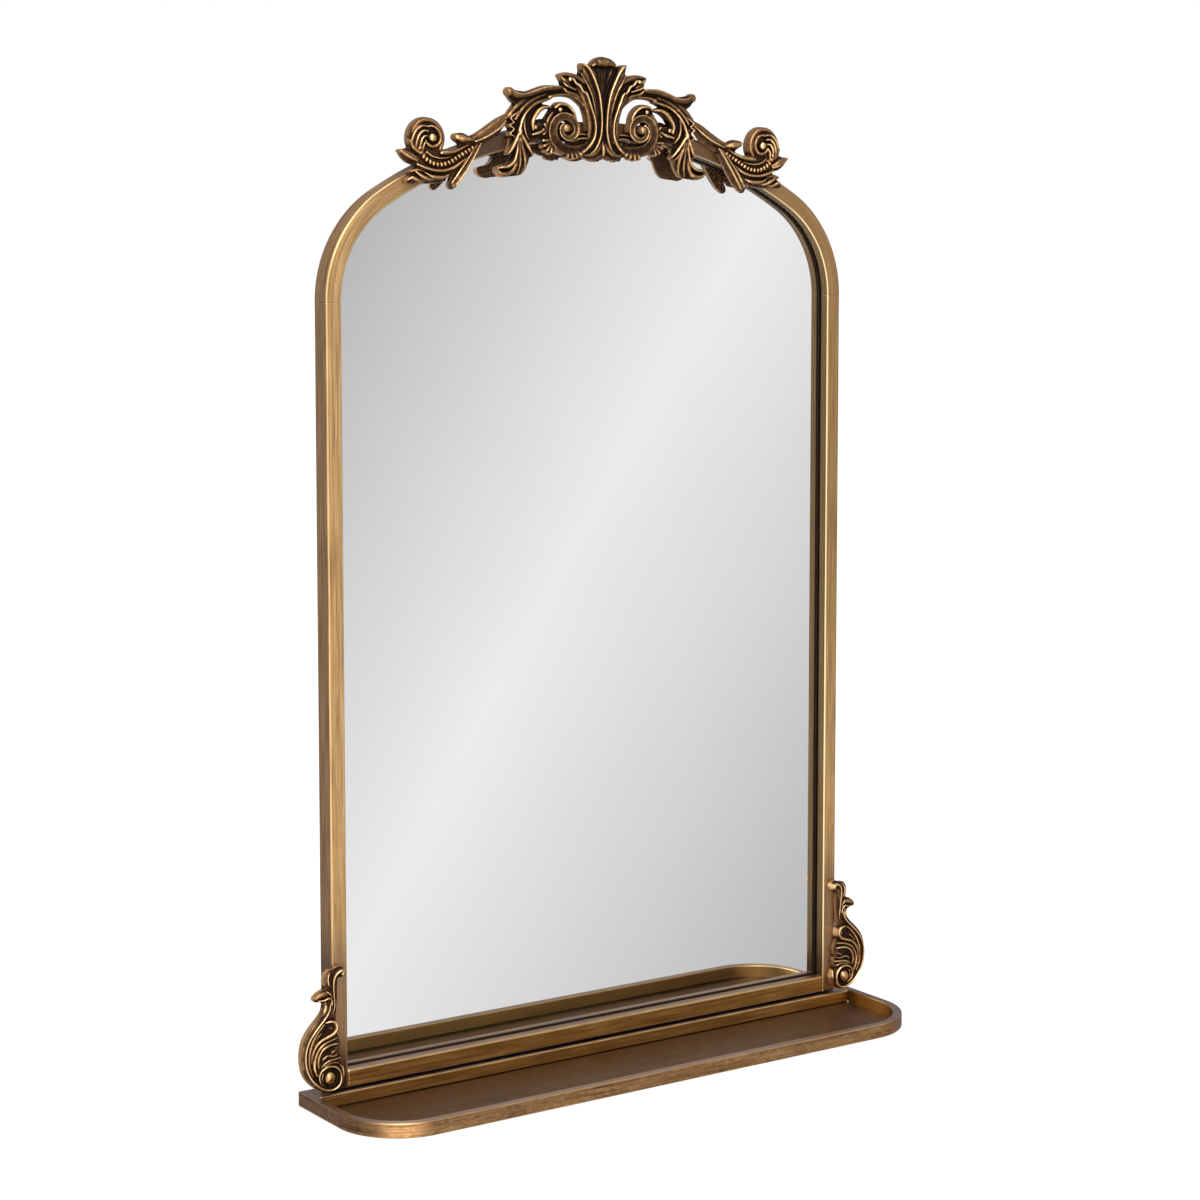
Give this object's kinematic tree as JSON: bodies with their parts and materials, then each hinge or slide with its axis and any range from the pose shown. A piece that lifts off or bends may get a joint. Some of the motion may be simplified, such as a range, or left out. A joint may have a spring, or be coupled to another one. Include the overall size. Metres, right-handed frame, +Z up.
{
  "type": "pier mirror with shelf",
  "caption": "Arched wall mirror in an antiqued bronze tube frame, with a gilt scroll crest, side ornaments and a narrow tray shelf at its foot.",
  "frame": {"origin": "on the wall, midway across the mirror, at the height of the shelf's underside: the lower edge of the rubber strip that bears on the wall", "axes": "+X to the right seen from the front, +Z up, +Y into the wall, so the glass faces -Y"},
  "size_m": [0.6322, 0.1394, 0.9189],
  "materials": {
    "antiqued_bronze": "antiqued bronze leaf finish, finely streaked along each member, worn bright at the edges",
    "dark_bronze": "dark antiqued bronze, satin",
    "antiqued_gold": "gilt high points over near-black brown recesses",
    "silvered_glass": "polished float glass, silvered on its back",
    "foam_tape": "matt",
    "fibreboard": "bare board, matt",
    "zinc_steel": "zinc plated",
    "black_rubber": "matt"
  },
  "bodies": {
    "frame": {"left_stile": "antiqued_bronze", "right_stile": "antiqued_bronze", "arch_rail": "antiqued_bronze", "bottom_rail": "antiqued_bronze", "mirror_glass": "silvered_glass", "bonding_tape": "foam_tape", "backing_board": "fibreboard", "board_lugs": "antiqued_bronze", "board_screws": "zinc_steel", "shelf_back_bar": "antiqued_bronze", "shelf_rim": "antiqued_bronze", "shelf_floor": "dark_bronze", "shelf_spacers": "zinc_steel", "shelf_screws": "zinc_steel", "rivet_nuts": "zinc_steel", "crest_cartouche": "antiqued_gold", "crest_left_arm": "antiqued_gold", "crest_right_arm": "antiqued_gold", "crest_screws": "zinc_steel", "left_side_ornament": "antiqued_gold", "right_side_ornament": "antiqued_gold", "ornament_screws": "zinc_steel", "left_hanger_strap": "zinc_steel", "right_hanger_strap": "zinc_steel", "hanger_screws": "zinc_steel", "stile_pads": "black_rubber", "bar_bumper": "black_rubber"},
    "left_ring": {"left_hanger_ring": "zinc_steel"},
    "right_ring": {"right_hanger_ring": "zinc_steel"}
  },
  "joints": [
    {"name": "left_ring_swing", "type": "hinge", "parent": "frame", "child": "left_ring", "pos_m": [-0.27225, -0.0027, 0.64], "axis": [1, 0, 0], "range_deg": [0, 180]},
    {"name": "right_ring_swing", "type": "hinge", "parent": "frame", "child": "right_ring", "pos_m": [0.27225, -0.0027, 0.64], "axis": [1, 0, 0], "range_deg": [0, 180]}
  ]
}
